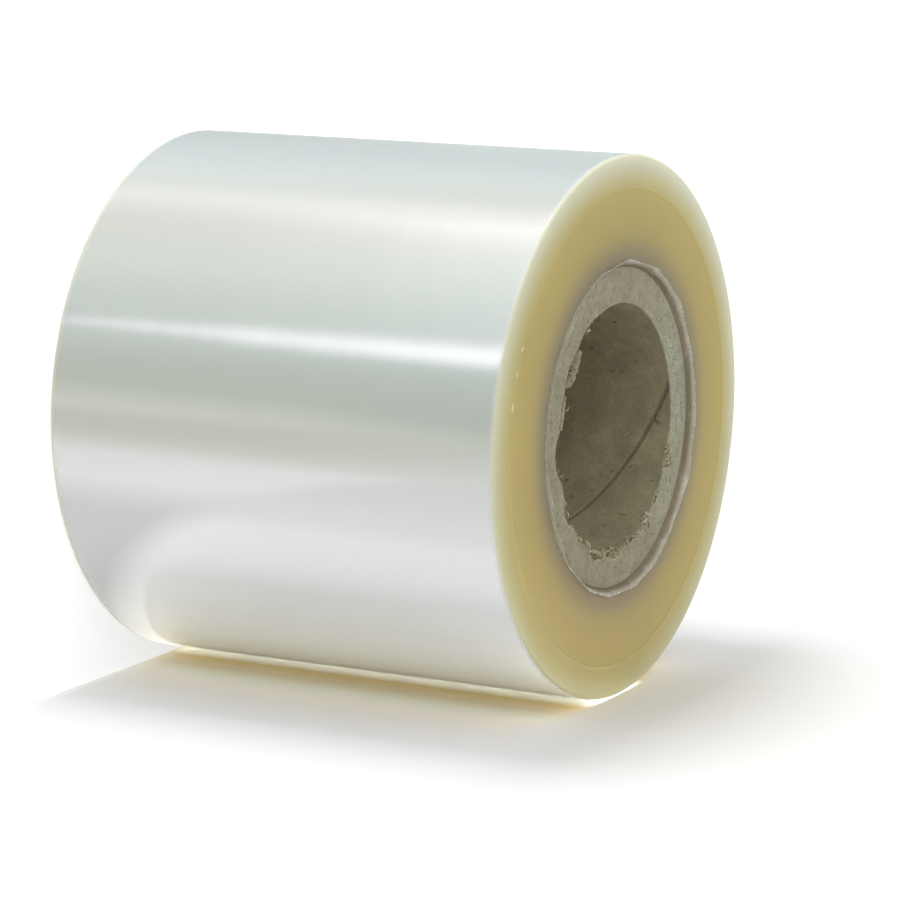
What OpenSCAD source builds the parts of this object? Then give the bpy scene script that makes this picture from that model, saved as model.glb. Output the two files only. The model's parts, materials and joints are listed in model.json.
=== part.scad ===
// Roll of clear sealing film on a spiral-wound paperboard tube.
// The roll stands on one end with its axis along Z. The origin is the centre of that end.
// The finished end, with the torn tube mouth and the collar of first turns, faces up.

/* [Wound film] */
// Outer diameter of the wound film
film_d = 169; // [140:1:260]
// Width of the film, the height of the standing roll
film_w = 155; // [90:1:400]
// Rounding of the two outer rims
rim_r = 0.8; // [0.3:0.1:2]
// Step that the cut end of the last turn makes on the outside
turn_step = 0.1; // [0.05:0.01:0.3]
// Direction round the roll in which the last turn ends
turn_end_a = 95; // [0:5:355]

/* [Ridge on the end] */
// Diameter of the proud ring that a change of winding tension left
ridge_d = 148.6; // [130:0.2:164]
// Width of the ring
ridge_w = 1.5; // [0.8:0.1:3]
// Height of the ring above the end
ridge_h = 0.4; // [0.2:0.05:0.8]

/* [Collar of first turns] */
// Thickness of the few turns that stand out round the tube
collar_t = 0.35; // [0.2:0.05:0.8]
// Height of the collar above the end of the film
collar_h = 0.9; // [0.4:0.1:2]
// How far the collar leans out over the film at its creases
collar_lean = 2.1; // [1.2:0.1:3]
// Unevenness of the collar's edge
collar_wave = 0.25; // [0.05:0.05:0.5]

/* [Paperboard tube] */
// Bore of the tube
core_bore = 77; // [60:0.5:90]
// Wall of the tube
core_wall = 11.5; // [8:0.5:14]
// How far the tube stays below the finished end of the film
core_recess = 1.7; // [0.8:0.1:4]

/* [Spiral seam] */
// Gap between neighbouring turns of the innermost ply
seam_w = 1; // [0.6:0.1:2.5]
// Thickness of the innermost ply, the depth of the seam
ply_t = 0.5; // [0.3:0.05:1]
// Rise of the ply for each turn round the tube
seam_lead = 118; // [80:1:200]
// Direction in which the seam reaches the mouth
seam_mouth_a = 115; // [0:1:359]

/* [Torn mouth] */
// Reach of the largest tear into the wall
tear_reach = 3.2; // [2:0.1:6]
// Depth of the largest tear below the tube's end
tear_depth = 5; // [2:0.5:12]
// Raggedness of the torn edges
tear_rag = 0.3; // [0.1:0.05:0.6]

/* [Hidden] */

$fn = 180;
film_r = film_d / 2;
bore_r = core_bore / 2;
core_r = bore_r + core_wall;
core_top = film_w - core_recess;
over = 1;

// The collar is creased into flats. These are the directions of its creases.
creases = [-172, -150, -131, -112, -94, -76, -55, -33, -14, 1, 22, 38, 54, 75, 98, 121, 144, 166, 188];
collar_steps = 144;
collar_foot = 0.1;

// Each tear has a direction, a half width in degrees and a share of the largest tear.
tears = [
    [-137, 9, 0.35], [-113, 10, 0.42], [-95, 8, 0.18], [-73, 12, 1], [-44, 9, 0.8], [-28, 8, 0.5],
    [-8, 10, 0.95], [10, 10, 0.85], [27, 8, 0.35], [43, 7, 0.65], [58, 6, 0.35], [80, 9, 0.45]
];
tear_steps = 240;

// A tear lays two groups of plies bare, so it goes down in two ledges
ledge_reach = 0.5;
ledge_depth = 0.45;

// Segments of one whole turn of the seam's cutting strip
seam_steps = 48;

function crease_before(a) = max([for (c = creases) if (c <= a) c]);
function crease_after(a) = min([for (c = creases) if (c > a) c]);

// Distance of a flat from the axis, for flats whose creases lie at distance r
function flat_r(r, a) =
    let (c0 = crease_before(a), c1 = crease_after(a))
    r * cos((c1 - c0) / 2) / cos(a - (c0 + c1) / 2);

function wave(a) = collar_wave * (sin(5 * a + 20) + 0.6 * sin(11 * a) + 0.4 * sin(23 * a + 70));

// How much of each tear is felt at direction a, from 0 to 1
function tear_at(a) = max([
    for (t = tears)
        let (off = abs(((a - t[0] + 540) % 360) - 180))
        off < t[1] ? t[2] * pow(cos(90 * off / t[1]), 0.7) : 0
]);

// Torn fibres along an edge, from -1 to 1, different for each ledge
function rag(a, ledge) =
    0.4 * sin(23 * a + 80 * ledge) + 0.35 * sin(41 * a + 130 * ledge) + 0.25 * sin(67 * a + 50 * ledge);

// Closed ring of cross sections, each one a list of points in the same order
function ring_faces(steps, n) = [
    for (i = [0:steps - 1], j = [0:n - 1])
        let (k = (i + 1) % steps, m = (j + 1) % n)
        each [
            [i * n + j, i * n + m, k * n + m],
            [i * n + j, k * n + m, k * n + j]
        ]
];

module ring_solid(sections) {
    n = len(sections[0]);
    polyhedron(points = [for (s = sections) each s], faces = ring_faces(len(sections), n));
}

function around(a, r, z) = [r * cos(a), r * sin(a), z];

module film_half_section(outer_r) {
    difference() {
        union() {
            translate([0, rim_r])
                square([outer_r, film_w - 2 * rim_r]);
            square([outer_r - rim_r, film_w]);
            for (z = [rim_r, film_w - rim_r])
                translate([outer_r - rim_r, z])
                    circle(rim_r, $fn = 48);
        }
        translate([-over, -over])
            square([core_r + over, film_w + 2 * over]);
    }
}

// The last turn ends in a step, so its two half turns have slightly different radii
module wound_film() {
    rotate([0, 0, turn_end_a])
        difference() {
            union() {
                rotate_extrude(angle = 180)
                    film_half_section(film_r);
                translate([-turn_step / 2, 0, 0])
                    rotate([0, 0, 180])
                        rotate_extrude(angle = 180)
                            film_half_section(film_r - turn_step / 2);
            }
            translate([0, 0, -over])
                cylinder(r = core_r, h = film_w + 2 * over);
            translate([0, 0, core_top])
                cylinder(r1 = core_r, r2 = core_r + collar_lean, h = core_recess + collar_h);
        }
}

module ridge() {
    arc_r = (ridge_w * ridge_w / 4 + ridge_h * ridge_h) / (2 * ridge_h);
    rotate_extrude()
        translate([ridge_d / 2, film_w + ridge_h - arc_r])
            circle(arc_r, $fn = 48);
}

// The first turns lean out over the end of the film and are creased into flats
module collar() {
    ring_solid([
        for (i = [0:collar_steps - 1])
            let (
                a = i * 360 / collar_steps - 172,
                lean_r = flat_r(core_r + collar_lean, a),
                top_z = film_w + collar_h + wave(a)
            )
            [
                around(a, core_r + collar_foot, core_top),
                around(a, core_r + collar_foot + 3 * collar_t, core_top),
                around(a, lean_r + 2 * collar_t, film_w - collar_foot),
                around(a, lean_r + collar_t, top_z),
                around(a, lean_r, top_z)
            ]
    ]);
}

module film() {
    color([0.86, 0.87, 0.84])
        union() {
            wound_film();
            ridge();
            collar();
        }
}

// Strip along the spiral seam, wider in height than the seam because it climbs
module seam_cut() {
    rise = seam_w / 2 / cos(atan(seam_lead / (2 * PI * bore_r)));
    turns = film_w / seam_lead + 0.2;
    steps = ceil(turns * seam_steps);
    sections = [
        for (i = [0:steps])
            let (
                a = seam_mouth_a + 15 - i * 360 / seam_steps,
                z = core_top + (a - seam_mouth_a) * seam_lead / 360
            )
            [
                around(a, bore_r - over, z - rise),
                around(a, bore_r + ply_t, z - rise),
                around(a, bore_r + ply_t, z + rise),
                around(a, bore_r - over, z + rise)
            ]
    ];
    n = 4;
    last = steps * n;
    polyhedron(
        points = [for (s = sections) each s],
        faces = [
            [0, 1, 2], [0, 2, 3],
            for (i = [0:steps - 1], j = [0:n - 1])
                let (m = (j + 1) % n)
                each [
                    [i * n + j, (i + 1) * n + m, i * n + m],
                    [i * n + j, (i + 1) * n + j, (i + 1) * n + m]
                ],
            [last, last + 2, last + 1], [last, last + 3, last + 2]
        ]
    );
}

// Irregular ring that takes the torn inner plies away at the mouth
module tear_cut() {
    ring_solid([
        for (i = [0:tear_steps - 1])
            let (
                a = i * 360 / tear_steps,
                share = tear_at(a),
                frayed = tear_rag * (0.2 + 0.8 * share),
                reach = max(0.15, tear_reach * share + frayed * rag(a, 1)),
                ledge = ledge_reach * reach * (1 + 0.3 * rag(a, 2)),
                depth = max(0.3, tear_depth * share + 2 * frayed * rag(a, 3)),
                ledge_z = ledge_depth * depth * (1 + 0.3 * rag(a, 4))
            )
            [
                around(a, bore_r - over, core_top - depth - over),
                around(a, bore_r + 0.8 * ledge, core_top - 0.9 * depth),
                around(a, bore_r + ledge, core_top - ledge_z),
                around(a, bore_r + reach, core_top - 0.3 * ledge_z),
                around(a, bore_r + reach, core_top + over),
                around(a, bore_r - over, core_top + over)
            ]
    ]);
}

module core() {
    color([0.6, 0.56, 0.47])
        difference() {
            cylinder(r = core_r, h = core_top);
            translate([0, 0, -over])
                cylinder(r = bore_r, h = core_top + 2 * over);
            seam_cut();
            tear_cut();
        }
}

core();
film();
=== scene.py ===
import json
import math

import bmesh
import bpy
from mathutils import Matrix, Vector, noise


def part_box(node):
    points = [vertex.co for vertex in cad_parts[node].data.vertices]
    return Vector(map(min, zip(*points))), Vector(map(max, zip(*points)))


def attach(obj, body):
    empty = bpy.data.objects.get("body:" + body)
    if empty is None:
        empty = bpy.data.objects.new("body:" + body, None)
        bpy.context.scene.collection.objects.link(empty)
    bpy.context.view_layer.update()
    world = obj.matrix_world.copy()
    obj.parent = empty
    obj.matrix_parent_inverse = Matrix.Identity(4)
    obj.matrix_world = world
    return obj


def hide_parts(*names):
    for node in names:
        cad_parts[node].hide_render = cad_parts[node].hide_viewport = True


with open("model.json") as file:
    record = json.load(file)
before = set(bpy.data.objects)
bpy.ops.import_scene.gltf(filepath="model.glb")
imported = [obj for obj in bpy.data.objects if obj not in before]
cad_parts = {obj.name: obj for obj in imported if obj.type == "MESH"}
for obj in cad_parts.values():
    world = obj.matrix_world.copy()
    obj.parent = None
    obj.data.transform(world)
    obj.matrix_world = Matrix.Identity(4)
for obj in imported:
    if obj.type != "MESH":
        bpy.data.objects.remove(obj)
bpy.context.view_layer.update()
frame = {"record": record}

# Paperboard tube: plies of grey-brown board, glued in a spiral and sawn to length.
# The innermost ply leaves an open seam that climbs the bore. At the mouth the inner plies
# are torn away step by step, and two strips of the innermost one stand bent into the bore.

MM = 0.001
mounts = {mount["name"]: mount for mount in frame["record"]["mounts"]}
core_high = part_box("core")[1]
core_radius = core_high.x
core_top = core_high.z
bore_radius = mounts["core_bore"]["dims"]["r_mm"] * MM
core_bevel = 0.25 * MM
core_columns = 900
ply_thickness = 0.5 * MM
seam_half_height = 0.95 * MM
seam_lead = 118 * MM
seam_mouth_angle = 115
tear_reach = 3.2 * MM
tear_depth = 5 * MM
torn_plies = 7
strip_root = 4.6 * MM
sawn_layer = 0.28 * MM
face_steps = (0, 0.03, 0.07, 0.12, 0.2, 0.3, 0.42, 0.55, 0.7, 0.85, 1)

# Direction, half width in degrees, and shares of the largest reach and depth
tears = [
    (-137, 14, 0.3, 0.2), (-113, 13, 0.42, 0.5), (-95, 8, 0.2, 0.2), (-73, 12, 1, 1), (-44, 9, 0.8, 0.8),
    (-28, 8, 0.5, 0.6), (-8, 10, 0.95, 0.9), (10, 10, 0.85, 0.8), (27, 8, 0.4, 0.25), (43, 7, 0.65, 0.25),
    (58, 6, 0.35, 0.12), (80, 10, 0.45, 0.13),
]

# First and last direction of a bent strip, its lean into the bore, its height above the face,
# its thickness, and the depth of the slit behind it
strips = [
    (-127, -104, 2.1 * MM, 1.0 * MM, 0.6 * MM, 2.4 * MM),
    (-103, -84, 0.9 * MM, 0.35 * MM, 0.4 * MM, 0.1 * MM),
]


def around(angle, radius, height):
    """Point at a direction in degrees, a distance from the axis and a height."""
    turn = math.radians(angle)
    return Vector((radius * math.cos(turn), radius * math.sin(turn), height))


def rough(place, scale, seed=0.0):
    """Smooth noise from about -1 to 1 that repeats for the same place."""
    spot = place / scale + Vector((seed, seed * 1.7, -seed))
    return noise.fractal(spot, 0.9, 2.1, 3)


def tear_share(angle):
    """Shares of the largest reach and depth at a direction."""
    reach = depth = 0
    for direction, half_width, most_reach, most_depth in tears:
        off = abs((angle - direction + 540) % 360 - 180)
        if off < half_width:
            felt = math.cos(math.pi / 2 * off / half_width) ** 0.8
            reach = max(reach, most_reach * felt)
            depth = max(depth, most_depth * felt)
    return reach, depth


def strip_at(angle):
    """Lean, height, thickness, slit depth and presence of the bent strip at a direction."""
    turned = (angle + 180) % 360 - 180
    for first, last, lean, rise, thick, slit in strips:
        if first < turned < last:
            felt = math.sin(math.pi * (turned - first) / (last - first)) ** 0.6
            ragged = 1 + 0.45 * rough(around(angle, bore_radius, 0), 1.2 * MM, 8.0)
            height = rise * ragged * (0.3 + 0.7 * felt)
            return lean * (0.35 + 0.65 * felt), height, thick, slit, min(1, 2.2 * felt)
    return 0, 0, 0, 0, 0


def span(start, stop, count):
    """Evenly spaced numbers from the first to the last."""
    return [start + (stop - start) * i / (count - 1) for i in range(count)]


def bore_rows(angle, fallen, top):
    """Points up the bore wall, with the seam cut in where it passes this direction."""
    wall_rows = 12
    first = core_top - seam_lead * fallen / 360
    levels = [0]
    for middle in (first - seam_lead, first):
        levels.append(min(max(middle - seam_half_height, 0), top))
        levels.append(min(max(middle + seam_half_height, 0), top))
    levels.append(top)
    points = []
    for k in range(5):
        low, high = levels[k], levels[k + 1]
        if k % 2:
            cut = ply_thickness * min(1, (high - low) / (2 * seam_half_height))
            inset = 0.12 * (high - low)
            points.append((around(angle, bore_radius + cut, low + inset), 0, 1))
            points.append((around(angle, bore_radius + cut, high - inset), 0, 1))
        else:
            points += [(around(angle, bore_radius, height), 0, 0) for height in span(low, high, wall_rows)]
    return points


def strip_rows(angle, start):
    """Points over a bent strip, which shrink to the start of the torn edge where there is none."""
    lean, rise, thick, slit, presence = strip_at(angle)
    shape = [
        (-0.25 * lean, -3.2 * MM), (-0.65 * lean, -1.4 * MM), (-0.95 * lean, -0.1 * MM),
        (-lean, 0.75 * rise), (-lean + 0.3 * thick, rise), (-lean + 0.8 * thick, 0.9 * rise),
        (-lean + thick, 0.6 * rise), (-0.8 * lean + thick, -0.35 * slit), (-0.45 * lean + thick, -slit),
    ]
    rows = []
    for k, (inward, height) in enumerate(shape):
        place = start.lerp(around(angle, bore_radius + inward, core_top + height), presence)
        fluff = 0.07 * MM * presence * rough(place, 0.5 * MM, 3.0 + k)
        rows.append((place + Vector((0, 0, fluff)), 0.45 * presence, 0))
    return rows


def torn_rows(angle):
    """Points over the torn plies, where each ply ends at a depth of its own."""
    reach_share, depth_share = tear_share(angle)
    torn = min(1, 3 * reach_share)
    edge = around(angle, bore_radius, 0)
    rag = 0.4 * MM * (0.15 + 0.85 * reach_share)
    reach = max(0.15 * MM, tear_reach * reach_share + rag * rough(edge, 1.5 * MM, 4.0))
    rag = 0.9 * MM * (0.15 + 0.85 * depth_share)
    depth = max(0.25 * MM, tear_depth * depth_share + rag * rough(edge, 2.1 * MM, 6.0))
    rows = []
    level = depth
    for ply in range(torn_plies):
        radius = bore_radius + min(ply * ply_thickness, reach)
        left = max(0, 1 - (ply + 1) * ply_thickness / reach)
        uneven = 1 + 0.55 * rough(edge, (1.1 + 0.35 * ply) * MM, 11.0 + 3 * ply)
        lower = min(level, max(0, depth * left ** 0.8 * uneven))
        outer = bore_radius + min((ply + 1) * ply_thickness, reach)
        for far, down in ((0.0, level), (0.45, level), (0.9, level), (1.0, lower + 0.3 * (level - lower))):
            place = around(angle, radius + far * (outer - radius), core_top - down)
            fluff = 0.09 * MM * torn * rough(place, 0.7 * MM, 20.0 + ply)
            rows.append((place + Vector((0, 0, fluff)), torn, 0))
        level = lower
    return rows, reach, depth


def core_column(angle, fallen):
    """Closed half section of the tube at a direction that lies an angle past the seam's mouth."""
    edge_rows, reach, depth = torn_rows(angle)
    presence = strip_at(angle)[4]
    wall_top = core_top - depth + presence * (depth - max(depth, strip_root))
    points = [(around(angle, core_radius, 0), 0, 0)]
    points.append((around(angle, (core_radius + bore_radius) / 2, 0), 0, 0))
    points += bore_rows(angle, fallen, wall_top)
    points += strip_rows(angle, around(angle, bore_radius, wall_top))
    points += edge_rows
    inner = bore_radius + reach
    fade = min(1, 2.5 * tear_share(angle)[0])
    for step, across in enumerate(face_steps):
        place = around(angle, inner + (core_radius - core_bevel - inner) * across, core_top)
        sunk = 0.09 * MM * max(0, rough(place, 2.2 * MM, 5.0)) * math.sin(math.pi * across)
        frayed = max(0, 1 - across / 0.12) * fade
        points.append((place - Vector((0, 0, sunk + 0.1 * MM * (step == 0))), frayed, 0))
    points.append((around(angle, core_radius, core_top - core_bevel), 0, 0))
    return points


def closed_mesh(name, columns, attributes):
    """Mesh round closed columns of points, where each point is a place and its attribute values."""
    rows = len(columns[0])
    faces = []
    for c in range(len(columns) - 1):
        for r in range(rows):
            q = (r + 1) % rows
            faces.append((c * rows + r, (c + 1) * rows + r, (c + 1) * rows + q, c * rows + q))
    mesh = bpy.data.meshes.new(name)
    mesh.from_pydata([point[0] for column in columns for point in column], [], faces)
    for k, attribute in enumerate(attributes):
        layer = mesh.attributes.new(attribute, "FLOAT", "POINT")
        layer.data.foreach_set("value", [point[1 + k] for column in columns for point in column])
    return mesh


def finish_piece(name, mesh, smooth_angle, merge=1e-6):
    """Merge and orient a mesh, shade it, and place it as a piece."""
    form = bmesh.new()
    form.from_mesh(mesh)
    bmesh.ops.remove_doubles(form, verts=form.verts, dist=merge)
    bmesh.ops.dissolve_degenerate(form, edges=form.edges, dist=merge / 10)
    bmesh.ops.recalc_face_normals(form, faces=form.faces)
    form.to_mesh(mesh)
    form.free()
    mesh.shade_smooth()
    mesh.set_sharp_from_angle(angle=math.radians(smooth_angle))
    piece = bpy.data.objects.new(name, mesh)
    bpy.context.scene.collection.objects.link(piece)
    return piece


def new_material(name):
    material = bpy.data.materials.new(name)
    material.use_nodes = True
    return material, material.node_tree.nodes, material.node_tree.links


def math_node(tree, operation, *values, clamp=False):
    """Math node whose inputs are sockets or plain numbers; its result socket is returned."""
    node = tree.nodes.new("ShaderNodeMath")
    node.operation = operation
    node.use_clamp = clamp
    for i, value in enumerate(values):
        if isinstance(value, (int, float)):
            node.inputs[i].default_value = value
        else:
            tree.links.new(value, node.inputs[i])
    return node.outputs[0]


def scale_colour(tree, colour, factor):
    node = tree.nodes.new("ShaderNodeVectorMath")
    node.operation = "SCALE"
    tree.links.new(colour, node.inputs[0])
    if isinstance(factor, (int, float)):
        node.inputs["Scale"].default_value = factor
    else:
        tree.links.new(factor, node.inputs["Scale"])
    return node.outputs[0]


def mix_colour(tree, factor, first, second):
    node = tree.nodes.new("ShaderNodeMix")
    node.data_type = "RGBA"
    for socket, value in ((node.inputs[0], factor), (node.inputs[6], first), (node.inputs[7], second)):
        if isinstance(value, (int, float)):
            socket.default_value = value
        elif isinstance(value, tuple):
            socket.default_value = (*value, 1)
        else:
            tree.links.new(value, socket)
    return node.outputs[2]


def ramp(tree, value, stops):
    """Colour ramp through stops of a place and a colour or grey level."""
    node = tree.nodes.new("ShaderNodeValToRGB")
    elements = node.color_ramp.elements
    while len(elements) < len(stops):
        elements.new(0.5)
    for element, (place, colour) in zip(elements, stops):
        element.position = place
        element.color = (*colour, 1) if isinstance(colour, tuple) else (colour, colour, colour, 1)
    tree.links.new(value, node.inputs[0])
    return node.outputs[0]


def patterned(tree, colour, *patterns):
    """Colour scaled by patterns, each of them given with its strength and its least level."""
    for pattern, strength, least in patterns:
        colour = scale_colour(tree, colour, math_node(tree, "MULTIPLY_ADD", pattern, strength, least))
    return colour


def noise_node(tree, place, scale, detail=3.0, roughness=0.5):
    node = tree.nodes.new("ShaderNodeTexNoise")
    node.inputs["Scale"].default_value = scale
    node.inputs["Detail"].default_value = detail
    node.inputs["Roughness"].default_value = roughness
    tree.links.new(place, node.inputs["Vector"])
    return node.outputs["Fac"]


def line_noise(tree, place, scale, detail=2.0):
    """Noise along one number, for lines that run across it."""
    node = tree.nodes.new("ShaderNodeTexNoise")
    node.noise_dimensions = "1D"
    node.inputs["Scale"].default_value = scale
    node.inputs["Detail"].default_value = detail
    tree.links.new(place, node.inputs["W"])
    return node.outputs["Fac"]


def stretched(tree, place, scale):
    node = tree.nodes.new("ShaderNodeMapping")
    node.inputs["Scale"].default_value = scale
    tree.links.new(place, node.inputs["Vector"])
    return node.outputs[0]


def attribute_node(tree, name):
    node = tree.nodes.new("ShaderNodeAttribute")
    node.attribute_name = name
    return node.outputs["Fac"]


def axes_of(tree, vector):
    node = tree.nodes.new("ShaderNodeSeparateXYZ")
    tree.links.new(vector, node.inputs[0])
    return node.outputs


def polar(tree, x, y):
    """Distance from the axis, and direction in degrees."""
    squares = math_node(tree, "ADD", math_node(tree, "MULTIPLY", x, x), math_node(tree, "MULTIPLY", y, y))
    direction = math_node(tree, "MULTIPLY", math_node(tree, "ARCTAN2", y, x), 180 / math.pi)
    return math_node(tree, "SQRT", squares), direction


def roll_place(tree):
    """Object coordinates, distance from the roll's axis, direction in degrees, and height."""
    place = tree.nodes.new("ShaderNodeTexCoord").outputs["Object"]
    x, y, z = axes_of(tree, place)
    return place, *polar(tree, x, y), z


def tube_board_material():
    material, nodes, links = new_material("sawn spiral tube board")
    tree = material.node_tree
    place, radius, direction, height = roll_place(tree)

    # Pulp of recycled board: cloudy tone, fine grain, pale and dark flecks
    cloud = noise_node(tree, place, 110, 5, 0.62)
    grain = noise_node(tree, place, 1500, 3, 0.7)
    pale = noise_node(tree, stretched(tree, place, (1, 1, 0.6)), 800, 2)
    pale = ramp(tree, pale, [(0.66, 0.0), (0.76, 1.0)])
    dark = noise_node(tree, stretched(tree, place, (1, 1, 0.7)), 430, 2, 0.4)
    dark = ramp(tree, dark, [(0.68, 0.0), (0.75, 1.0)])
    pulp = ramp(tree, cloud, [(0.3, (0.29, 0.27, 0.17)), (0.7, (0.345, 0.30, 0.185))])
    pulp = patterned(tree, pulp, (cloud, 0.7, 0.65), (grain, 0.9, 0.55))
    pulp = mix_colour(tree, math_node(tree, "MULTIPLY", pale, 0.45), pulp, (0.36, 0.325, 0.225))
    pulp = mix_colour(tree, math_node(tree, "MULTIPLY", dark, 0.6), pulp, (0.08, 0.062, 0.036))

    # Sawn face: saw lines at a slant to the radius, slits between plies that are painted dark as shade, and a
    # paler side
    sawn = math_node(tree, "GREATER_THAN", height, core_top - sawn_layer)
    slant = math_node(tree, "MULTIPLY_ADD", direction, math.radians(44) * MM,
                      math_node(tree, "MULTIPLY", radius, 0.5))
    saw = line_noise(tree, slant, 1900, 3)
    rings = math_node(tree, "MULTIPLY_ADD", cloud, 0.35 * MM, radius)
    ply_line = math_node(tree, "PINGPONG", rings, ply_thickness / 2)
    slit = ramp(tree, math_node(tree, "DIVIDE", ply_line, ply_thickness / 2), [(0.1, 1.0), (0.5, 0.0)])
    split_place = ramp(tree, noise_node(tree, place, 640, 1, 0.4), [(0.60, 0.0), (0.66, 1.0)])
    slit_depth = math_node(tree, "MULTIPLY", slit, split_place)
    paler_side = ramp(tree, math_node(tree, "DIVIDE", direction, 180.0),
                   [(0.0, 0.0), (0.18, 0.15), (0.36, 1.0), (0.72, 1.0), (0.9, 0.3), (1.0, 0.15)])
    face = mix_colour(tree, paler_side, (0.292, 0.27, 0.184), (0.32, 0.315, 0.232))
    patch = noise_node(tree, place, 330, 4, 0.6)
    face = patterned(tree, face, (saw, 0.5, 0.75), (grain, 0.8, 0.6), (cloud, 0.5, 0.75), (patch, 0.6, 0.7))
    face = mix_colour(tree, math_node(tree, "MULTIPLY", pale, 0.3), face, (0.40, 0.37, 0.27))
    face = mix_colour(tree, math_node(tree, "MULTIPLY", dark, 0.5), face, (0.12, 0.095, 0.055))
    # Painted shade in the slits between plies
    face = mix_colour(tree, math_node(tree, "MULTIPLY", slit_depth, 0.8), face, (0.07, 0.055, 0.03))
    colour = mix_colour(tree, sawn, pulp, face)

    # Torn plies show paler fibres, and the open seam is darker
    torn = attribute_node(tree, "torn")
    fluff = ramp(tree, noise_node(tree, place, 900, 3, 0.6),
                 [(0.35, (0.29, 0.255, 0.155)), (0.6, (0.50, 0.45, 0.31))])
    colour = mix_colour(tree, math_node(tree, "MULTIPLY", torn, 0.85), colour, fluff)
    seam = attribute_node(tree, "seam")
    colour = mix_colour(tree, math_node(tree, "MULTIPLY", seam, 0.4), colour, (0.08, 0.072, 0.038))
    relief = math_node(tree, "ADD", math_node(tree, "MULTIPLY", grain, 0.7), cloud)
    saw_relief = math_node(tree, "MULTIPLY", saw, math_node(tree, "MULTIPLY", sawn, 0.6))
    relief = math_node(tree, "ADD", relief, saw_relief)
    relief = math_node(tree, "SUBTRACT", relief, math_node(tree, "MULTIPLY", slit_depth, sawn))

    shader = nodes["Principled BSDF"]
    links.new(colour, shader.inputs["Base Color"])
    shader.inputs["Roughness"].default_value = 0.9
    shader.inputs["Specular IOR Level"].default_value = 0.15
    bump = nodes.new("ShaderNodeBump")
    bump.inputs["Strength"].default_value = 0.7
    bump.inputs["Distance"].default_value = 0.15 * MM
    links.new(relief, bump.inputs["Height"])
    links.new(bump.outputs[0], shader.inputs["Normal"])
    return material


tube_board = tube_board_material()


def form_tree(name, sizes):
    """Geometry Nodes tree with a mesh, named sizes and a finish as inputs."""
    tree = bpy.data.node_groups.new(name, "GeometryNodeTree")
    face = tree.interface
    face.new_socket("Mesh", in_out="INPUT", socket_type="NodeSocketGeometry")
    for size, kind in sizes:
        face.new_socket(size, in_out="INPUT", socket_type="NodeSocket" + kind)
    face.new_socket("Finish", in_out="INPUT", socket_type="NodeSocketMaterial")
    face.new_socket("Mesh", in_out="OUTPUT", socket_type="NodeSocketGeometry")
    return tree, tree.nodes.new("NodeGroupInput"), tree.nodes.new("NodeGroupOutput")


def tree_node(tree, kind, inputs=(), **settings):
    """Node with its settings, whose inputs are linked or given values by name or number."""
    node = tree.nodes.new(kind)
    for setting, value in settings.items():
        setattr(node, setting, value)
    for key, value in dict(inputs).items():
        if isinstance(value, bpy.types.NodeSocket):
            tree.links.new(value, node.inputs[key])
        else:
            node.inputs[key].default_value = value
    return node


def end_tree(tree, entry, leave, geometry):
    """Last nodes of every tree: realize the instances and set the material."""
    real = tree_node(tree, "GeometryNodeRealizeInstances", {0: geometry})
    finished = tree_node(tree, "GeometryNodeSetMaterial",
                         {"Geometry": real.outputs[0], "Material": entry.outputs["Finish"]})
    tree.links.new(finished.outputs[0], leave.inputs[0])


def grown_mesh(name, source, tree, values):
    """Plain mesh that a Geometry Nodes tree makes from a source mesh."""
    holder = bpy.data.objects.new(name, source)
    bpy.context.scene.collection.objects.link(holder)
    modifier = holder.modifiers.new("form", "NODES")
    modifier.node_group = tree
    for item in tree.interface.items_tree:
        if item.item_type == "SOCKET" and item.in_out == "INPUT" and item.name in values:
            modifier[item.identifier] = values[item.name]
    depsgraph = bpy.context.evaluated_depsgraph_get()
    mesh = bpy.data.meshes.new_from_object(
        holder.evaluated_get(depsgraph), preserve_all_data_layers=True, depsgraph=depsgraph)
    bpy.data.objects.remove(holder)
    mesh.name = name
    return mesh


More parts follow.
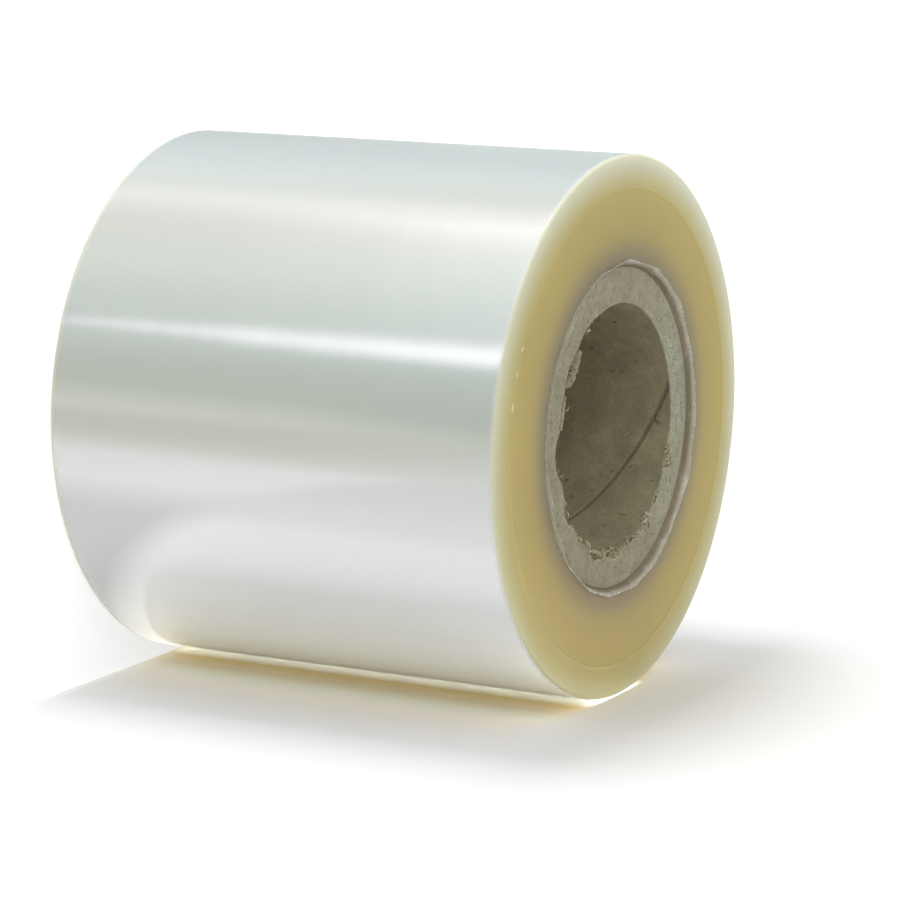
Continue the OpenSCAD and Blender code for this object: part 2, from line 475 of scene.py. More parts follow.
def flake_tree():
    """Curled scraps of torn board, scattered where the attribute says that the board is torn."""
    tree, entry, leave = form_tree("torn flakes", [
        ("Flakes per area", "Float"), ("Flake length", "Float"), ("Flake width", "Float"), ("Seed", "Int")])
    given = entry.outputs
    torn = tree_node(tree, "GeometryNodeInputNamedAttribute", {"Name": "torn"}, data_type="FLOAT")
    often = math_node(tree, "POWER", torn.outputs["Attribute"], 3.0)
    often = math_node(tree, "MULTIPLY", often, given["Flakes per area"])
    scatter = tree_node(tree, "GeometryNodeDistributePointsOnFaces",
                        {"Mesh": given["Mesh"], "Density": often, "Seed": given["Seed"]},
                        distribute_method="RANDOM")
    scrap = tree_node(tree, "GeometryNodeMeshGrid",
                      {"Size X": 1.0, "Size Y": 1.0, "Vertices X": 5, "Vertices Y": 2})
    spot = tree_node(tree, "GeometryNodeInputPosition")
    along, across, _ = axes_of(tree, spot.outputs[0])
    bend = math_node(tree, "MULTIPLY", along, 1.9)
    narrow = math_node(tree, "MULTIPLY", math_node(tree, "ABSOLUTE", along), 1.1)
    narrow = math_node(tree, "SUBTRACT", 1.0, narrow)
    curl_radius = math_node(tree, "MULTIPLY", given["Flake length"], 0.52)
    curled = tree_node(tree, "ShaderNodeCombineXYZ", {
        0: math_node(tree, "MULTIPLY", math_node(tree, "SINE", bend), curl_radius),
        1: math_node(tree, "MULTIPLY", math_node(tree, "MULTIPLY", across, narrow), given["Flake width"]),
        2: math_node(tree, "MULTIPLY", math_node(tree, "COSINE", bend), curl_radius),
    })
    bent = tree_node(tree, "GeometryNodeSetPosition",
                     {"Geometry": scrap.outputs[0], "Position": curled.outputs[0]})
    marked = tree_node(tree, "GeometryNodeStoreNamedAttribute",
                       {"Geometry": bent.outputs[0], "Name": "torn", "Value": 1.0},
                       data_type="FLOAT", domain="POINT")
    tilt = tree_node(tree, "FunctionNodeRandomValue",
                     {0: (-1.1, -1.1, -3.1), 1: (1.1, 1.1, 3.1), "Seed": given["Seed"]},
                     data_type="FLOAT_VECTOR")
    turn = tree_node(tree, "FunctionNodeEulerToRotation", {0: tilt.outputs[0]})
    aligned = tree_node(tree, "FunctionNodeRotateRotation",
                        {0: scatter.outputs["Rotation"], 1: turn.outputs[0]}, rotation_space="LOCAL")
    chance = tree_node(tree, "FunctionNodeRandomValue", {2: 0.0, 3: 1.0, "Seed": given["Seed"]},
                       data_type="FLOAT")
    grow = math_node(tree, "MULTIPLY_ADD", math_node(tree, "POWER", chance.outputs[1], 4.0), 2.0, 0.4)
    placed = tree_node(tree, "GeometryNodeInstanceOnPoints", {
        "Points": scatter.outputs["Points"], "Instance": marked.outputs[0],
        "Rotation": aligned.outputs[0], "Scale": grow})
    both = tree.nodes.new("GeometryNodeJoinGeometry")
    tree.links.new(placed.outputs[0], both.inputs[0])
    tree.links.new(given["Mesh"], both.inputs[0])
    end_tree(tree, entry, leave, both.outputs[0])
    return tree


start = -360 * seam_half_height / seam_lead
tube_mesh = closed_mesh(
    "paperboard_tube",
    [core_column(seam_mouth_angle - fallen, fallen) for fallen in span(start, start + 360, core_columns + 1)],
    ("torn", "seam"),
)
tube_shell = finish_piece("tube_shell", tube_mesh, 38)
tube_mesh = grown_mesh("paperboard_tube", tube_shell.data, flake_tree(), {
    "Flakes per area": 1.9e6, "Flake length": 1.5 * MM, "Flake width": 0.4 * MM,
    "Seed": 7, "Finish": tube_board})
bpy.data.objects.remove(tube_shell)
tube = bpy.data.objects.new("paperboard_tube", tube_mesh)
bpy.context.scene.collection.objects.link(tube)
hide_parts("core")
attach(tube, "root")

# Wound film: hundreds of turns of clear film, tight enough to look like one glossy
# silvery body from outside and a smooth amber face on its ends.
# A change of winding tension left a fine ring on the end that shows.

film_low, film_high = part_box("film")
film_radius = (film_high.x - film_low.x) / 2
core_recess = 1.7 * MM
film_width = core_top + core_recess
rim_radius = 0.8 * MM
turn_step = 0.1 * MM
turn_end_angle = 95
ring_radius = 74.3 * MM
ring_width = 1.7 * MM
ring_height = 0.2 * MM
ring_glint_radius = ring_radius + 0.2 * MM
collar_lean = 2.1 * MM
rim_glow = 2.2 * MM
film_columns = 720


def film_profile():
    """Half section of the film as a line of points, with a mark on those of the last turn."""
    foot = core_radius + 0.8 * collar_lean
    points = [(core_radius, 0, 0), (core_radius, core_top, 0), (foot, film_width, 0)]
    points += [(radius, film_width, 0) for radius in span(foot, ring_radius - ring_width / 2, 14)[1:]]
    for across in span(-1, 1, 13)[1:]:
        rise = ring_height * math.cos(math.pi / 2 * across) ** 2
        points.append((ring_radius + across * ring_width / 2, film_width + rise, 0))
    middle = film_radius - rim_radius
    points += [(radius, film_width, 1) for radius in span(ring_radius + ring_width / 2, middle, 8)[1:]]
    for turn in span(90, 0, 9)[1:]:
        bend = math.radians(turn)
        height = film_width - rim_radius * (1 - math.sin(bend))
        points.append((middle + rim_radius * math.cos(bend), height, 1))
    points += [(film_radius, height, 1) for height in span(film_width - rim_radius, rim_radius, 40)[1:]]
    for turn in span(0, -90, 9)[1:]:
        bend = math.radians(turn)
        points.append((middle + rim_radius * math.cos(bend), rim_radius * (1 + math.sin(bend)), 1))
    mesh = bpy.data.meshes.new("film_profile")
    mesh.from_pydata([(radius, 0, height) for radius, height, _ in points],
                     [(i, i + 1) for i in range(len(points) - 1)], [])
    layer = mesh.attributes.new("last turn", "FLOAT", "POINT")
    layer.data.foreach_set("value", [point[2] for point in points])
    return mesh


def winding_tree():
    """Turns a half section round the axis, while the last turn loses one step in radius."""
    tree, entry, leave = form_tree("winding", [
        ("Rows", "Int"), ("Columns", "Int"), ("Turn step", "Float"), ("Turn end", "Float")])
    given = entry.outputs
    grid = tree_node(tree, "GeometryNodeMeshGrid", {
        "Vertices X": math_node(tree, "ADD", given["Columns"], 1.0), "Vertices Y": given["Rows"]})
    index = tree_node(tree, "GeometryNodeInputIndex").outputs[0]
    column = math_node(tree, "DIVIDE", math_node(tree, "ADD", index, 0.5), given["Rows"])
    column = math_node(tree, "FLOOR", column)
    row = math_node(tree, "SUBTRACT", index, math_node(tree, "MULTIPLY", column, given["Rows"]))
    spot = tree_node(tree, "GeometryNodeInputPosition")
    at_row = tree_node(tree, "GeometryNodeSampleIndex",
                       {"Geometry": given["Mesh"], "Value": spot.outputs[0], "Index": row},
                       data_type="FLOAT_VECTOR", domain="POINT")
    mark = tree_node(tree, "GeometryNodeInputNamedAttribute", {"Name": "last turn"}, data_type="FLOAT")
    last = tree_node(tree, "GeometryNodeSampleIndex",
                     {"Geometry": given["Mesh"], "Value": mark.outputs["Attribute"], "Index": row},
                     data_type="FLOAT", domain="POINT")
    outward, _, height = axes_of(tree, at_row.outputs[0])
    turned = math_node(tree, "MULTIPLY", math_node(tree, "DIVIDE", column, given["Columns"]), 2 * math.pi)
    second_half = math_node(tree, "MAXIMUM", math_node(tree, "SUBTRACT", turned, math.pi), 0.0)
    lost = math_node(tree, "MULTIPLY", math_node(tree, "COSINE", second_half), 0.5)
    lost = math_node(tree, "SUBTRACT", 0.5, lost)
    lost = math_node(tree, "MULTIPLY", math_node(tree, "MULTIPLY", lost, given["Turn step"]), last.outputs[0])
    radius = math_node(tree, "SUBTRACT", outward, lost)
    direction = math_node(tree, "ADD", turned, given["Turn end"])
    place = tree_node(tree, "ShaderNodeCombineXYZ", {
        0: math_node(tree, "MULTIPLY", radius, math_node(tree, "COSINE", direction)),
        1: math_node(tree, "MULTIPLY", radius, math_node(tree, "SINE", direction)),
        2: height,
    })
    wound = tree_node(tree, "GeometryNodeSetPosition",
                      {"Geometry": grid.outputs[0], "Position": place.outputs[0]})
    end_tree(tree, entry, leave, wound.outputs[0])
    return tree


def closed_film(mesh, rows):
    """Joins the last row of the section to the first, so that the film is a closed solid."""
    form = bmesh.new()
    form.from_mesh(mesh)
    form.verts.ensure_lookup_table()
    for column in range(film_columns):
        a, b = column * rows, (column + 1) * rows
        form.faces.new([form.verts[i] for i in (a, b, b + rows - 1, a + rows - 1)])
    form.to_mesh(mesh)
    form.free()


def tinted(tree, colour, tint):
    """Colour multiplied by another one."""
    node = tree.nodes.new("ShaderNodeVectorMath")
    node.operation = "MULTIPLY"
    tree.links.new(colour, node.inputs[0])
    tree.links.new(tint, node.inputs[1])
    return node.outputs[0]


def film_material():
    material, nodes, links = new_material("wound clear film")
    tree = material.node_tree
    place, radius, direction, height = roll_place(tree)

    # The end is amber, deepest near the tube, and a little uneven from turn to turn. Toward the rim it turns
    # paler: painted light, the glow of light that comes in through the film's edge.
    across = math_node(tree, "SUBTRACT", radius, core_radius)
    across = math_node(tree, "DIVIDE", across, film_radius - core_radius)
    end = ramp(tree, across, [
        (0.03, (0.225, 0.19, 0.13)), (0.10, (0.25, 0.21, 0.122)), (0.17, (0.29, 0.24, 0.118)),
        (0.24, (0.35, 0.285, 0.113)), (0.33, (0.40, 0.32, 0.11)), (0.50, (0.435, 0.345, 0.108)),
        (0.68, (0.455, 0.375, 0.122)), (0.80, (0.475, 0.415, 0.165)), (0.90, (0.50, 0.47, 0.235)),
        (0.97, (0.535, 0.525, 0.33)),
    ])
    uneven = noise_node(tree, stretched(tree, place, (1, 1, 0.1)), 26, 3)
    turns = line_noise(tree, radius, 900, 3)
    end = patterned(tree, end, (uneven, 0.16, 0.92), (turns, 0.06, 0.97))

    # Painted shade: the end is darker and warmer on the side by the board, which shades it. Painted light:
    # its rim is paler, most on the side that faces the light.
    turned = math_node(tree, "MULTIPLY", direction, math.pi / 180)
    board_side_shade = math_node(tree, "POWER", math_node(tree, "COSINE", turned, clamp=True), 1.3)
    end = tinted(tree, end, mix_colour(tree, board_side_shade, (1.03, 1.015, 0.985), (0.95, 0.89, 0.71)))
    lit = math_node(tree, "COSINE", math_node(tree, "SUBTRACT", turned, math.radians(165)))
    lit = math_node(tree, "MULTIPLY_ADD", lit, 0.35, 0.33, clamp=True)
    # Painted light through the rim, stronger on the side that faces the light
    painted_rim_light = ramp(tree, across, [(0.68, 0.0), (0.78, 0.28), (0.84, 0.47), (0.90, 0.74), (0.945, 1.0)])
    end = mix_colour(tree, math_node(tree, "MULTIPLY", painted_rim_light, lit), end, (0.72, 0.735, 0.62))

    # Small painted white glints on the ring, where its edge catches the light
    past = math_node(tree, "DIVIDE", math_node(tree, "ADD", direction, 110.0), 25.0, clamp=True)
    ring_glints = ramp(tree, past, [(0.17, 0.0), (0.2, 1.0), (0.23, 0.0), (0.41, 0.0), (0.44, 0.8), (0.47, 0.0),
                               (0.69, 0.0), (0.74, 0.9), (0.79, 0.0)])
    from_ring = math_node(tree, "ABSOLUTE", math_node(tree, "SUBTRACT", radius, ring_glint_radius))
    on_ring = math_node(tree, "SUBTRACT", 1.0, math_node(tree, "DIVIDE", from_ring, 0.7 * MM), clamp=True)
    end = mix_colour(tree, math_node(tree, "MULTIPLY", ring_glints, on_ring), end, (0.80, 0.78, 0.62))

    # The wall is silvery, with a yellower line along each rim: a painted glow of light that comes through the
    # film's edge
    from_rim = math_node(tree, "MINIMUM", math_node(tree, "SUBTRACT", film_width, height), height)
    near_rim = math_node(tree, "DIVIDE", from_rim, rim_glow)
    near_rim = ramp(tree, near_rim, [(0.12, 1.0), (0.55, 0.25), (0.95, 0.0)])
    wall = mix_colour(tree, near_rim, (0.84, 0.85, 0.84), (0.60, 0.60, 0.46))
    on_wall = math_node(tree, "GREATER_THAN", radius, film_radius - 0.35 * MM)
    on_wall = math_node(tree, "MULTIPLY", on_wall, math_node(tree, "GREATER_THAN", from_rim, 0.2 * MM))
    colour = mix_colour(tree, on_wall, end, wall)

    # The wall is wound a little unevenly across its width, which bends its reflections
    bands = noise_node(tree, stretched(tree, place, (1, 1, 2.4)), 14, 2, 0.4)
    fine = line_noise(tree, height, 150, 2)
    relief = math_node(tree, "MULTIPLY_ADD", fine, 0.05, bands)
    bump = nodes.new("ShaderNodeBump")
    bump.inputs["Strength"].default_value = 0.5
    bump.inputs["Distance"].default_value = 0.3 * MM
    links.new(math_node(tree, "MULTIPLY", relief, on_wall), bump.inputs["Height"])

    shader = nodes["Principled BSDF"]
    links.new(colour, shader.inputs["Base Color"])
    bare = math_node(tree, "SUBTRACT", 1.0, math_node(tree, "MULTIPLY", near_rim, 0.85))
    silvery = math_node(tree, "MULTIPLY", math_node(tree, "MULTIPLY", on_wall, bare), 0.9)
    links.new(silvery, shader.inputs["Metallic"])
    links.new(math_node(tree, "MULTIPLY_ADD", on_wall, -0.20, 0.30), shader.inputs["Roughness"])
    shader.inputs["Specular IOR Level"].default_value = 0.35
    shader.inputs["Subsurface Weight"].default_value = 0.45
    shader.inputs["Subsurface Radius"].default_value = (1.0, 0.85, 0.5)
    shader.inputs["Subsurface Scale"].default_value = 4 * MM
    links.new(bump.outputs[0], shader.inputs["Normal"])
    return material


profile = film_profile()
film_rows = len(profile.vertices)
film_mesh = grown_mesh("wound_film", profile, winding_tree(), {
    "Rows": film_rows, "Columns": film_columns, "Turn step": turn_step,
    "Turn end": math.radians(turn_end_angle), "Finish": film_material()})
closed_film(film_mesh, film_rows)
wound_film = finish_piece("wound_film", film_mesh, 60, merge=1e-7)
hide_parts("film")
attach(wound_film, "root")

# Collar: the first few turns of clear film stand out of the end around the tube.
# They lean over the wound film, creased into flats. Their cut edge and some stretches carry painted white
# highlights, as if they caught the light, and the creases are whitened by strain.

collar_thickness = 0.3 * MM
collar_height = 0.9 * MM
collar_foot = 0.15 * MM
creases = [-172, -150, -131, -112, -94, -76, -55, -33, -14, 1, 22, 38, 54, 75, 98, 121, 144, 166, 188]

# Directions and half widths of the stretches that carry painted white glints
glints = [
    (-176, 7), (-154, 9), (-113, 5), (-101, 6), (-86, 2), (-58, 4), (-12, 12), (8, 9), (33, 3), (48, 4),
    (66, 5),
]


def flat_radius(radius, angle):
    """Distance of a flat from the axis, for flats whose creases lie at one distance."""
    before = max(c for c in creases if c <= angle)
    after = min(c for c in creases if c > angle)
    half = math.radians(after - before) / 2
    return radius * math.cos(half) / math.cos(math.radians(angle - (before + after) / 2))


def collar_column(angle):
    """Closed section of the collar at a direction, up its inside and down its outside."""
    turn = math.radians(angle)
    wave = math.sin(5 * turn + 0.35) + 0.6 * math.sin(11 * turn) + 0.4 * math.sin(23 * turn + 1.2)
    top = film_width + collar_height + 0.25 * MM * wave
    foot_radius = core_radius + collar_foot
    lean_radius = flat_radius(core_radius + collar_lean, angle)
    crease = max(0, 1 - min(abs(angle - c) for c in creases) / 1.6)
    glint = max(0, max(1 - abs((angle - c + 540) % 360 - 180) / wide for c, wide in glints))
    inner = []
    outer = []
    for t in span(0, 1, 9):
        radius = foot_radius + (lean_radius - foot_radius) * t ** 1.2
        height = core_top + 0.05 * MM + (top - core_top) * t
        crinkle = 0.13 * MM * rough(around(angle, radius, height), 2.5 * MM, 7.0) * t
        # Painted highlights on the cut edge and at the glints, and white strain along the creases
        white_creases_and_glints = max(0.8 * max(0, t - 0.86) / 0.14, 0.6 * crease * t, glint * t)
        inner.append((around(angle, radius + crinkle, height), white_creases_and_glints))
        outer.append((around(angle, radius + crinkle + collar_thickness, height), white_creases_and_glints))
    return inner + outer[::-1]


def collar_material():
    material, nodes, links = new_material("loose clear film")
    tree = material.node_tree
    place, _, direction, height = roll_place(tree)
    white_creases_and_glints = attribute_node(tree, "white_creases_and_glints")
    patchy = ramp(tree, noise_node(tree, place, 420, 2), [(0.42, 0.15), (0.60, 1.0)])
    # White creases, and painted highlights on the cut edge and at the glints
    creased_and_glinting = math_node(tree, "MULTIPLY", white_creases_and_glints, patchy)

    # Painted shade of the gap between tube and film makes the foot brown, less so on the side that faces the
    # camera, where the film is painted pale and clear; its top is pale
    rise = math_node(tree, "SUBTRACT", height, core_top)
    rise = math_node(tree, "DIVIDE", rise, core_recess + collar_height, clamp=True)
    film = ramp(tree, rise, [
        (0.0, (0.40, 0.33, 0.23)), (0.45, (0.46, 0.40, 0.29)), (0.8, (0.78, 0.76, 0.65))])
    turned = math_node(tree, "MULTIPLY", direction, math.pi / 180)
    clear = math_node(tree, "MULTIPLY_ADD", math_node(tree, "SINE", turned), -1.6, 0.1, clamp=True)
    film = mix_colour(tree, clear, film, (0.96, 0.95, 0.90))
    shader = nodes["Principled BSDF"]
    links.new(mix_colour(tree, creased_and_glinting, film, (0.86, 0.88, 0.87)), shader.inputs["Base Color"])
    links.new(math_node(tree, "MULTIPLY_ADD", creased_and_glinting, 0.2, 0.15), shader.inputs["Roughness"])
    shader.inputs["IOR"].default_value = 1.4
    shader.inputs["Transmission Weight"].default_value = 0.8
    return material


collar_angles = span(creases[0], creases[-1], 721)[:-1] + [creases[0]]
collar_columns = [collar_column(angle) for angle in collar_angles]
collar_mesh = closed_mesh("first_turns_collar", collar_columns, ("white_creases_and_glints",))
collar = finish_piece("first_turns_collar", collar_mesh, 50)
collar_mesh.materials.append(collar_material())
collar.visible_shadow = False
collar.visible_diffuse = False
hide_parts("film")
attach(collar, "root")

# Studio: a pale floor under the standing roll and a pale board that touches its side.
# The photograph shows the roll lying down, so the camera is turned on its side
# and the board takes the place of the table in the photograph.

board_turn = math.radians(11.93)
board_away = Vector((math.cos(board_turn), math.sin(board_turn), 0))
board_front = Vector((math.sin(board_turn), -math.cos(board_turn), 0))
board_gap = 0.25 * MM
floor_half = 6
under_roll_half = 55 * MM
board_reach = 0.3
end_margin = 5 * MM
square = ((-1, -1), (1, -1), (1, 1), (-1, 1))


def stage_plane(name, corners):
    """One face with four corners, which belongs to the stage."""
    mesh = bpy.data.meshes.new(name)
    mesh.from_pydata(corners, [], [(0, 1, 2, 3)])
    piece = bpy.data.objects.new(name, mesh)
    bpy.context.scene.collection.objects.link(piece)
    return piece


floor = stage_plane("floor", [(x * floor_half, y * floor_half, 0) for x, y in square])
floor.visible_glossy = False
floor.visible_shadow = False
floor.visible_diffuse = False
under_roll = stage_plane("floor_under_roll", [
    (x * under_roll_half, y * under_roll_half, 0) for x, y in square])
board_place = board_away * (film_radius + board_gap)
board = stage_plane("board", [
    board_place + board_front * across + Vector((0, 0, height))
    for across, height in ((-1.1, -0.7), (0.32, -0.7), (0.32, 1.5), (-1.1, 1.5))])


def floor_material(glow):
    """Pale floor, with a glow that the camera alone sees."""
    material, nodes, links = new_material("pale floor")
    shader = nodes["Principled BSDF"]
    shader.inputs["Base Color"].default_value = (0.62, 0.62, 0.62, 1)
    shader.inputs["Roughness"].default_value = 1.0
    shader.inputs["Specular IOR Level"].default_value = 0
    light_path = nodes.new("ShaderNodeLightPath")
    shader.inputs["Emission Color"].default_value = (1, 1, 1, 1)
    light = math_node(material.node_tree, "MULTIPLY", light_path.outputs["Is Camera Ray"], glow)
    links.new(light, shader.inputs["Emission Strength"])
    return material


def board_material():
    """Pale card, seen from its front alone, a little warm where the film shades it."""
    material, nodes, links = new_material("pale board")
    tree = material.node_tree
    light_path = nodes.new("ShaderNodeLightPath")
    glossy_ray = light_path.outputs["Is Glossy Ray"]
    camera_ray = light_path.outputs["Is Camera Ray"]
    geometry = nodes.new("ShaderNodeNewGeometry")
    passed = math_node(tree, "GREATER_THAN", light_path.outputs["Transparent Depth"], 0.5)
    hidden = math_node(tree, "MAXIMUM", geometry.outputs["Backfacing"], passed)
    along = nodes.new("ShaderNodeVectorMath")
    along.operation = "DOT_PRODUCT"
    along.inputs[1].default_value = board_front
    links.new(geometry.outputs["Position"], along.inputs[0])
    far = math_node(tree, "ABSOLUTE", along.outputs["Value"])
    far = math_node(tree, "DIVIDE", far, board_reach, clamp=True)

    # The film mirrors the board darker than the camera sees it, the more so away from the contact
    seen = ramp(tree, far, [(0.45, 0.76), (1.0, 1.0)])
    mirrored = ramp(tree, far, [
        (0.03, 0.78), (0.047, 0.57), (0.067, 0.43), (0.093, 0.41), (0.12, 0.375), (0.18, 0.33),
        (0.263, 0.285), (0.383, 0.227), (0.5, 0.187), (0.7, 0.172)])
    mirrored_low = ramp(tree, far, [(0.09, 0.22), (0.12, 0.19), (0.22, 0.15), (0.45, 0.15), (0.65, 0.20)])
    height = axes_of(tree, geometry.outputs["Position"])[2]
    past_foot = math_node(tree, "SUBTRACT", end_margin, height)
    past_foot = math_node(tree, "DIVIDE", past_foot, 20 * MM, clamp=True)
    mirrored = scale_colour(tree, mix_colour(tree, past_foot, mirrored, mirrored_low), 3.0)
    level = mix_colour(tree, glossy_ray, seen, mirrored)

    # Light through the film makes the shaded board amber, less so past the roll's top end
    shaded = nodes.new("ShaderNodeAmbientOcclusion")
    shaded.samples = 8
    shaded.inputs["Distance"].default_value = 0.25
    shade = ramp(tree, shaded.outputs["AO"], [(0.45, 1.0), (0.85, 0.0)])
    amber = scale_colour(tree, ramp(tree, far, [
        (0.10, (0.40, 0.367, 0.283)), (0.133, (0.417, 0.40, 0.333)), (0.167, (0.40, 0.377, 0.333)),
        (0.20, (0.37, 0.353, 0.323)), (0.27, (0.35, 0.35, 0.347))]), 3.0)
    shade = math_node(tree, "MULTIPLY", shade, math_node(tree, "MULTIPLY_ADD", glossy_ray, -0.4, 1.0))
    past_top = math_node(tree, "SUBTRACT", height, film_width - end_margin)
    past_top = math_node(tree, "DIVIDE", past_top, 15 * MM, clamp=True)
    shade = math_node(tree, "MULTIPLY", shade, math_node(tree, "MULTIPLY_ADD", past_top, -0.75, 1.0))
    warm = mix_colour(tree, shade, (1.0, 1.0, 1.0), amber)

    # The wall throws light back on the board along the line of contact
    close = ramp(tree, shaded.outputs["AO"], [(0.2, 1.0), (0.34, 0.0)])
    mirrored_light = scale_colour(tree, ramp(tree, far, [
        (0.03, (0.52, 0.63, 0.90)), (0.067, (0.18, 0.15, 0.10)), (0.10, (0.134, 0.13, 0.121)),
        (0.133, (0.146, 0.146, 0.146))]), 8.0)
    close = math_node(tree, "MULTIPLY", close, camera_ray)
    close = math_node(tree, "MULTIPLY", close, math_node(tree, "MULTIPLY_ADD", height, 50.0, 0.3, clamp=True))
    warm_close = mix_colour(tree, close, (1.0, 1.0, 1.0), mirrored_light)
    level = tinted(tree, tinted(tree, level, warm), warm_close)
    looked_at = math_node(tree, "MAXIMUM", camera_ray, glossy_ray)
    level = mix_colour(tree, looked_at, (0.66, 0.66, 0.66), level)
    card = nodes.new("ShaderNodeBsdfDiffuse")
    links.new(level, card.inputs["Color"])
    mix = nodes.new("ShaderNodeMixShader")
    links.new(hidden, mix.inputs[0])
    links.new(card.outputs[0], mix.inputs[1])
    links.new(nodes.new("ShaderNodeBsdfTransparent").outputs[0], mix.inputs[2])
    links.new(mix.outputs[0], nodes["Material Output"].inputs["Surface"])
    return material


floor.data.materials.append(floor_material(glow=0.55))
under_roll.data.materials.append(floor_material(glow=0.0))
board.data.materials.append(board_material())


def studio_world():
    """Even white light, and for reflections the soft panels that stand round the roll."""
    world = bpy.data.worlds.new("studio")
    bpy.context.scene.world = world
    world.use_nodes = True
    tree = world.node_tree
    tree.nodes.clear()
    way = tree.nodes.new("ShaderNodeTexCoord").outputs["Generated"]
    x, y, z = axes_of(tree, way)
    flat, azimuth = polar(tree, x, y)
    slope = math_node(tree, "DIVIDE", z, math_node(tree, "MAXIMUM", flat, 0.001))
    turned = math_node(tree, "WRAP", azimuth, 102.0, -258.0)

    # Reflected light in three parts: the panels seen at each end of the roll, and the room behind
    most = 1.3

    def panel(first, width, stops):
        share = math_node(tree, "DIVIDE", math_node(tree, "SUBTRACT", turned, float(first)), float(width))
        return ramp(tree, share, [
            ((place - first) / width, tuple(level / most for level in colour)) for place, colour in stops])

    near_end = panel(-258, 202, [
        (-250, (0.64, 0.71, 0.70)), (-228, (0.63, 0.69, 0.70)), (-210, (0.69, 0.77, 0.76)),
        (-201, (0.74, 0.80, 0.77)), (-199.5, (0.74, 0.77, 0.73)), (-190, (0.78, 0.80, 0.76)),
        (-180, (0.99, 0.99, 0.98)), (-174, (1.16, 1.16, 1.14)), (-162, (0.96, 0.96, 0.93)),
        (-144, (0.80, 0.86, 0.82)), (-122, (0.69, 0.75, 0.73)), (-108, (0.53, 0.60, 0.57)),
        (-90, (0.47, 0.515, 0.46)), (-84, (0.47, 0.51, 0.46)), (-78, (0.555, 0.585, 0.51)),
        (-66, (0.67, 0.68, 0.64)), (-56, (0.75, 0.77, 0.74)),
    ])
    far_end = panel(-258, 202, [
        (-246, (0.58, 0.64, 0.63)), (-228, (0.61, 0.685, 0.685)), (-196, (0.75, 0.81, 0.81)),
        (-193, (0.76, 0.79, 0.74)), (-181, (0.91, 0.92, 0.88)), (-174, (0.82, 0.82, 0.77)),
        (-166, (0.76, 0.75, 0.70)), (-144, (0.71, 0.77, 0.70)), (-130, (0.63, 0.69, 0.63)),
        (-110, (0.56, 0.62, 0.58)), (-98, (0.50, 0.54, 0.48)), (-88, (0.51, 0.54, 0.47)),
        (-78, (0.66, 0.67, 0.60)), (-73, (0.565, 0.565, 0.49)), (-66, (0.60, 0.60, 0.52)),
        (-60, (0.73, 0.74, 0.69)), (-56, (0.76, 0.78, 0.75)),
    ])
    room = panel(-58, 160, [
        (-56, (0.75, 0.77, 0.74)), (-20, (0.74, 0.76, 0.74)), (0, (0.62, 0.64, 0.61)),
        (25, (0.52, 0.54, 0.50)), (55, (0.60, 0.63, 0.61)), (80, (0.80, 0.84, 0.83)),
        (102, (0.64, 0.71, 0.70)),
    ])
    along = math_node(tree, "DIVIDE", math_node(tree, "ADD", slope, 0.65), 0.12, clamp=True)
    along = math_node(tree, "POWER", along, 2.0)
    panels = mix_colour(tree, along, far_end, near_end)
    panels = mix_colour(tree, math_node(tree, "GREATER_THAN", turned, -57.0), panels, room)

    # Bright streak of a window, narrow at the far end and wide at the near end
    reach = math_node(tree, "DIVIDE", math_node(tree, "ADD", slope, 0.70), 0.20, clamp=True)
    above = ramp(tree, reach, [(0.15, 0.15), (0.25, 0.25), (0.40, 0.31), (0.53, 0.35), (0.8, 0.42)])
    below = ramp(tree, reach, [(0.15, 0.16), (0.30, 0.21), (0.45, 0.33), (0.6, 0.36), (0.8, 0.37)])
    peak = ramp(tree, reach, [
        (0.10, 0.62), (0.25, 0.72), (0.40, 0.79), (0.55, 0.86), (0.64, 0.90), (0.8, 0.97)])
    off = math_node(tree, "ADD", turned, math_node(tree, "MULTIPLY_ADD", reach, -1.3, 114.3))
    opening = mix_colour(tree, math_node(tree, "GREATER_THAN", off, 0.0), above, below)
    opening = math_node(tree, "MULTIPLY", opening, 10.0)
    share = math_node(tree, "DIVIDE", math_node(tree, "ABSOLUTE", off), opening)
    streak = math_node(tree, "POWER", 0.5, math_node(tree, "POWER", share, 2.2))
    window = mix_colour(tree, peak, (0.0, 0.0, 0.0), (0.96, 0.99, 1.0))
    seen = mix_colour(tree, streak, panels, window)
    seen = scale_colour(tree, seen, most)

    # Reflections see the panels, the camera sees white, and all other light is even
    rays = tree.nodes.new("ShaderNodeLightPath").outputs
    low_side = math_node(tree, "MULTIPLY_ADD", z, -2.2, 0.2, clamp=True)
    even = mix_colour(tree, low_side, (0.80, 0.80, 0.80), (1.12, 1.12, 1.12))
    shown = math_node(tree, "MAXIMUM", rays["Is Camera Ray"], rays["Is Transmission Ray"])
    plain = mix_colour(tree, shown, even, (1.0, 1.0, 1.0))
    colour = mix_colour(tree, rays["Is Glossy Ray"], plain, seen)
    background = tree.nodes.new("ShaderNodeBackground")
    tree.links.new(colour, background.inputs["Color"])
    output = tree.nodes.new("ShaderNodeOutputWorld")
    tree.links.new(background.outputs[0], output.inputs["Surface"])


studio_world()


def facing(place, right, up, back):
    """World matrix of a lamp or camera from its place and its three directions."""
    turn = Matrix((right, up, back)).transposed().to_4x4()
    return Matrix.Translation(place) @ turn


def soft_light(name, place, aim_at, width, height, watts):
    data = bpy.data.lights.new(name, "AREA")
    data.shape = "RECTANGLE"
    data.size = width
    data.size_y = height
    data.energy = watts
    lamp = bpy.data.objects.new(name, data)
    away = (place - aim_at).normalized()
    across = Vector((0, 0, 1)).cross(away).normalized()
    lamp.matrix_world = facing(place, across, away.cross(across), away)
    lamp.visible_glossy = False
    bpy.context.scene.collection.objects.link(lamp)


soft_light("front", Vector((-0.9, -0.7, 1.3)), Vector((0, 0, 0.1)), width=0.9, height=0.9, watts=5.5)
over_board = board_away * (film_radius - 0.6) + board_front * -0.02 + Vector((0, 0, 0.02))
soft_light("key", over_board, over_board + board_away, width=0.28, height=0.16, watts=2.1)

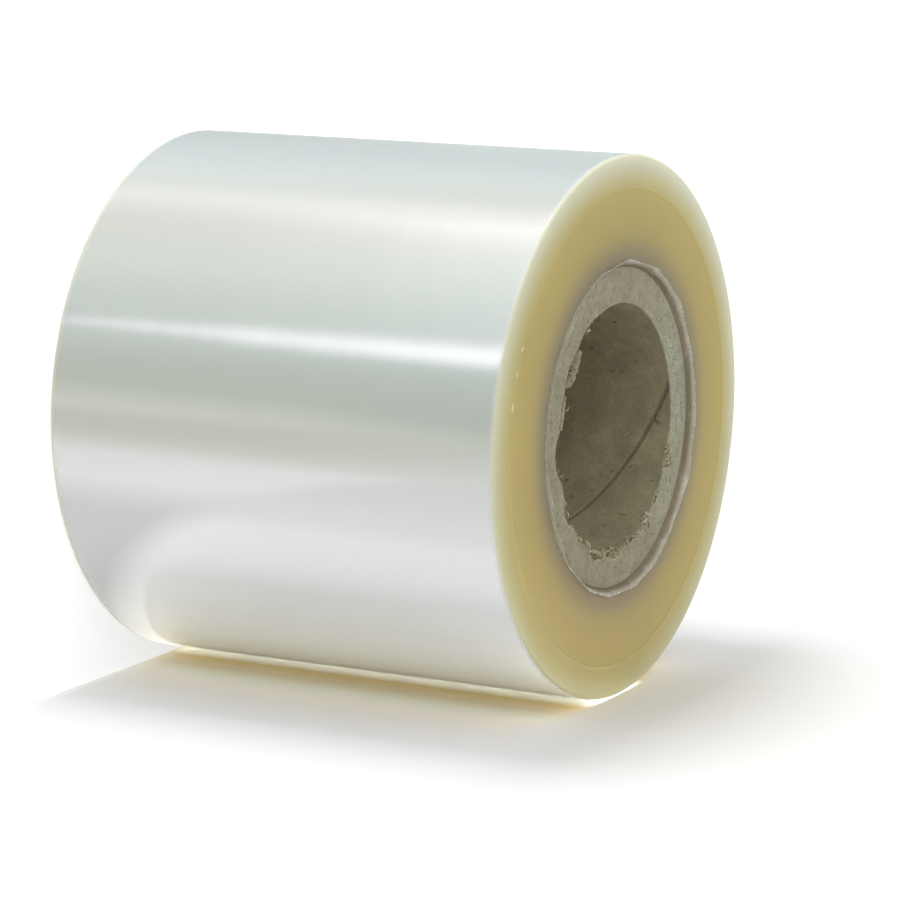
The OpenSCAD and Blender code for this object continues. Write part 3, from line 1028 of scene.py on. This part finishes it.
# The camera's values were fitted to the outlines in the photograph
image_side = 900
focal_pixels = 3728.5
camera_data = bpy.data.cameras.new("camera")
camera_data.sensor_width = 36
camera_data.lens = 36 * focal_pixels / image_side
camera_data.clip_start = 0.01
camera = bpy.data.objects.new("camera", camera_data)
aim = Vector((0.0120, 0, 0.0959))
distance = 1.1789
elevation = math.radians(28.22)
roll = math.radians(95.7)
forward = Vector((0, math.cos(elevation), -math.sin(elevation)))
level_right = Vector((1, 0, 0))
level_up = level_right.cross(forward)
right = level_right * math.cos(roll) + level_up * math.sin(roll)
up = right.cross(forward)
camera.matrix_world = facing(aim - forward * distance, right, up, -forward)
bpy.context.scene.collection.objects.link(camera)
bpy.context.scene.camera = camera
bpy.context.scene.view_settings.view_transform = "Standard"
